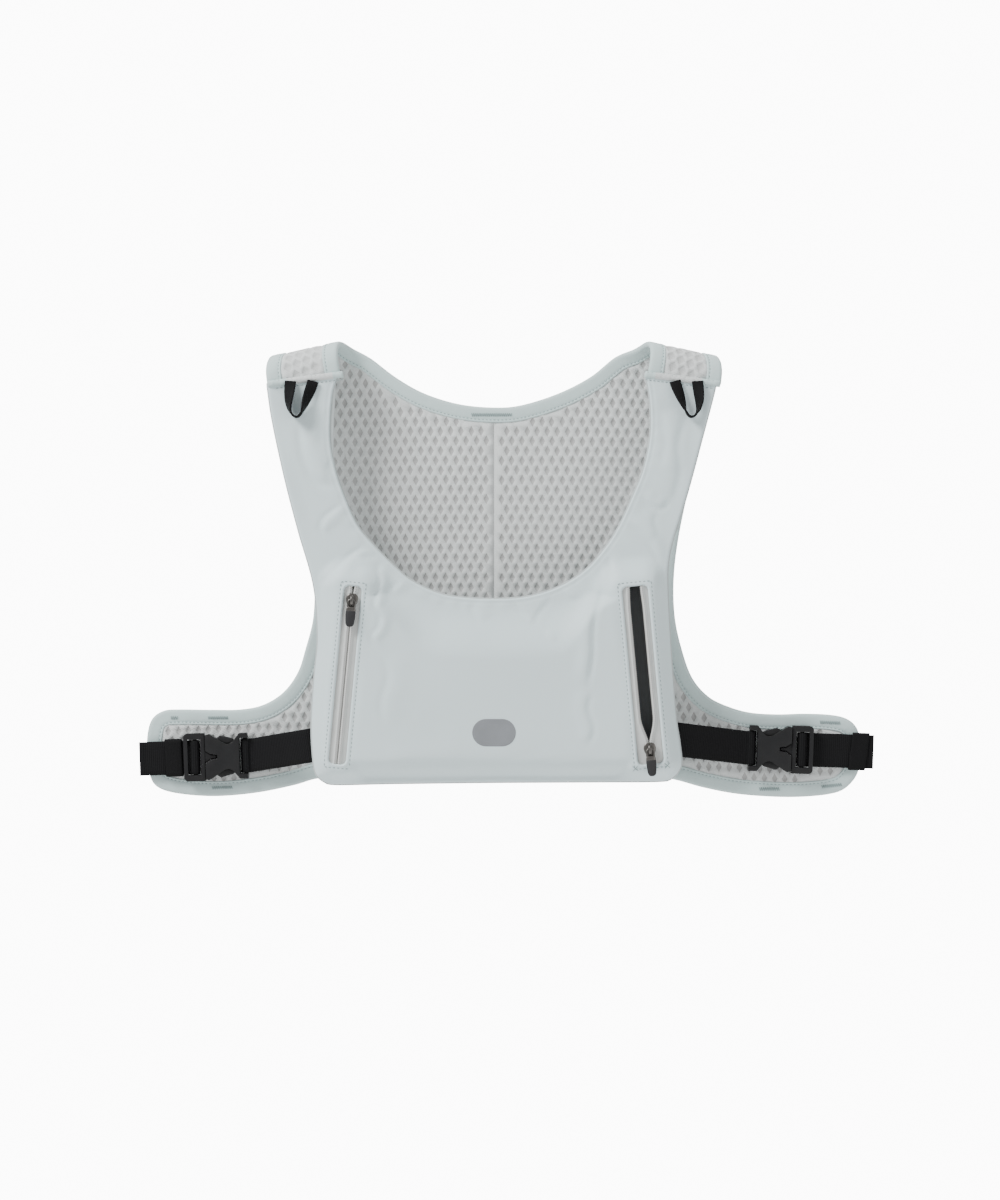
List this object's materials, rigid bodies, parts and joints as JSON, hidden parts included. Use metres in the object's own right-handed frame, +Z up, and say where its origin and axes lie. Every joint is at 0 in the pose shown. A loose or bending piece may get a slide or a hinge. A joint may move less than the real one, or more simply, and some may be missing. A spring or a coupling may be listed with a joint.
{
  "type": "running phone vest",
  "caption": "Light chest vest with padded shoulder straps, a zipped phone pocket, a mesh back with side wings and a side-release buckle each side.",
  "frame": {"origin": "midway between the undersides of the two shoulder folds, where the vest rests on the wearer", "axes": "+Z up as worn, front faces -Y, +X to the right of someone looking at the front"},
  "size_m": [0.4359, 0.0452, 0.27],
  "materials": {
    "cloth": "smooth stretch knit, matt with a soft sheen",
    "lining": "plain fine knit",
    "mesh": "spacer mesh with diamond holes",
    "binding": "folded stretch binding, stitched",
    "thread": "bartack thread",
    "print": "grey reflective heat-set film",
    "webbing": "black ribbed webbing",
    "elastic": "black woven elastic",
    "buckle": "black acetal, fine moulded grain",
    "tape": "light grey zip tape",
    "coil": "light grey nylon coil",
    "metal": "gunmetal plating",
    "rubber": "matt black moulded grip"
  },
  "bodies": {
    "vest": {"bartacks": "thread", "front_lining": "lining", "front_shell": "cloth", "left_back_mesh": "mesh", "left_buckle_plug": "buckle", "left_edge_binding": "binding", "left_front_webbing": "webbing", "left_plug_webbing": "webbing", "left_shoulder_arm_binding": "binding", "left_shoulder_mesh": "mesh", "left_shoulder_neck_binding": "binding", "left_shoulder_seam": "binding", "left_strap_anchor": "webbing", "left_strap_interlining": "lining", "left_strap_tail": "webbing", "left_zip_coils": "coil", "left_zip_tapes": "tape", "neck_binding": "binding", "pocket_divider": "lining", "reflective_print": "print", "right_back_mesh": "mesh", "right_buckle_plug": "buckle", "right_edge_binding": "binding", "right_front_webbing": "webbing", "right_plug_webbing": "webbing", "right_shoulder_arm_binding": "binding", "right_shoulder_mesh": "mesh", "right_shoulder_neck_binding": "binding", "right_shoulder_seam": "binding", "right_strap_anchor": "webbing", "right_strap_interlining": "lining", "right_strap_tail": "webbing", "right_zip_coils": "coil", "right_zip_tapes": "tape"},
    "left_slider": {"left_zip_slider": "metal"},
    "left_pull": {"left_zip_pull": "metal", "left_pull_grip": "rubber"},
    "left_housing": {"left_buckle_housing": "buckle", "left_housing_webbing": "webbing"},
    "left_upper_arm": {"left_upper_latch_arm": "buckle"},
    "left_lower_arm": {"left_lower_latch_arm": "buckle"},
    "left_keeper_band": {"left_keeper": "elastic"},
    "left_loop": {"left_gear_loop": "webbing"},
    "right_slider": {"right_zip_slider": "metal"},
    "right_pull": {"right_zip_pull": "metal", "right_pull_grip": "rubber"},
    "right_housing": {"right_buckle_housing": "buckle", "right_housing_webbing": "webbing"},
    "right_upper_arm": {"right_upper_latch_arm": "buckle"},
    "right_lower_arm": {"right_lower_latch_arm": "buckle"},
    "right_keeper_band": {"right_keeper": "elastic"},
    "right_loop": {"right_gear_loop": "webbing"}
  },
  "joints": [
    {"name": "left_zip_slide", "type": "slide", "parent": "vest", "child": "left_slider", "axis": [-0.0924, 0, -0.9957], "range_m": [0, 0.08727]},
    {"name": "left_pull_swing", "type": "hinge", "parent": "left_slider", "child": "left_pull", "pos_m": [-0.08277, -0.028, -0.14583], "axis": [-0.9957, 0, 0.0924], "range_deg": [0, 150]},
    {"name": "left_buckle_release", "type": "slide", "parent": "vest", "child": "left_housing", "axis": [0.9994, 0, 0.0349], "range_m": [0, 0.022], "deforming": ["left_front_webbing", "left_upper_latch_arm", "left_lower_latch_arm"]},
    {"name": "left_upper_arm_squeeze", "type": "hinge", "parent": "vest", "child": "left_upper_arm", "pos_m": [-0.17107, 0.0068, -0.23059], "axis": [0, 1, 0], "range_deg": [0, 6], "stiffness_Nm_per_rad": 0.2},
    {"name": "left_lower_arm_squeeze", "type": "hinge", "parent": "vest", "child": "left_lower_arm", "pos_m": [-0.17052, 0.0068, -0.24628], "axis": [0, -1, 0], "range_deg": [0, 6], "stiffness_Nm_per_rad": 0.2},
    {"name": "left_keeper_slide", "type": "slide", "parent": "vest", "child": "left_keeper_band", "axis": [-0.9994, 0, -0.0349], "range_m": [0, 0.002]},
    {"name": "left_loop_flap", "type": "hinge", "parent": "vest", "child": "left_loop", "pos_m": [-0.11242, -0.0177, -0.01784], "axis": [-1, 0, 0], "range_deg": [0, 80]},
    {"name": "right_zip_slide", "type": "slide", "parent": "vest", "child": "right_slider", "axis": [-0.0924, 0, 0.9957], "range_m": [0, 0.08727]},
    {"name": "right_pull_swing", "type": "hinge", "parent": "right_slider", "child": "right_pull", "pos_m": [0.09083, -0.028, -0.23273], "axis": [-0.9957, 0, -0.0924], "range_deg": [0, 150]},
    {"name": "right_buckle_release", "type": "slide", "parent": "vest", "child": "right_housing", "axis": [-0.9994, 0, 0.0349], "range_m": [0, 0.022], "deforming": ["right_front_webbing", "right_upper_latch_arm", "right_lower_latch_arm"]},
    {"name": "right_upper_arm_squeeze", "type": "hinge", "parent": "vest", "child": "right_upper_arm", "pos_m": [0.17627, 0.0068, -0.22609], "axis": [0, -1, 0], "range_deg": [0, 6], "stiffness_Nm_per_rad": 0.2},
    {"name": "right_lower_arm_squeeze", "type": "hinge", "parent": "vest", "child": "right_lower_arm", "pos_m": [0.17572, 0.0068, -0.24178], "axis": [0, 1, 0], "range_deg": [0, 6], "stiffness_Nm_per_rad": 0.2},
    {"name": "right_keeper_slide", "type": "slide", "parent": "vest", "child": "right_keeper_band", "axis": [0.9994, 0, -0.0349], "range_m": [0, 0.003]},
    {"name": "right_loop_flap", "type": "hinge", "parent": "vest", "child": "right_loop", "pos_m": [0.11242, -0.0177, -0.01784], "axis": [-1, 0, 0], "range_deg": [0, 80]}
  ],
  "couplings": [
    {"joint": "left_lower_arm_squeeze", "follows": "left_upper_arm_squeeze", "ratio": 1},
    {"joint": "right_lower_arm_squeeze", "follows": "right_upper_arm_squeeze", "ratio": 1}
  ]
}
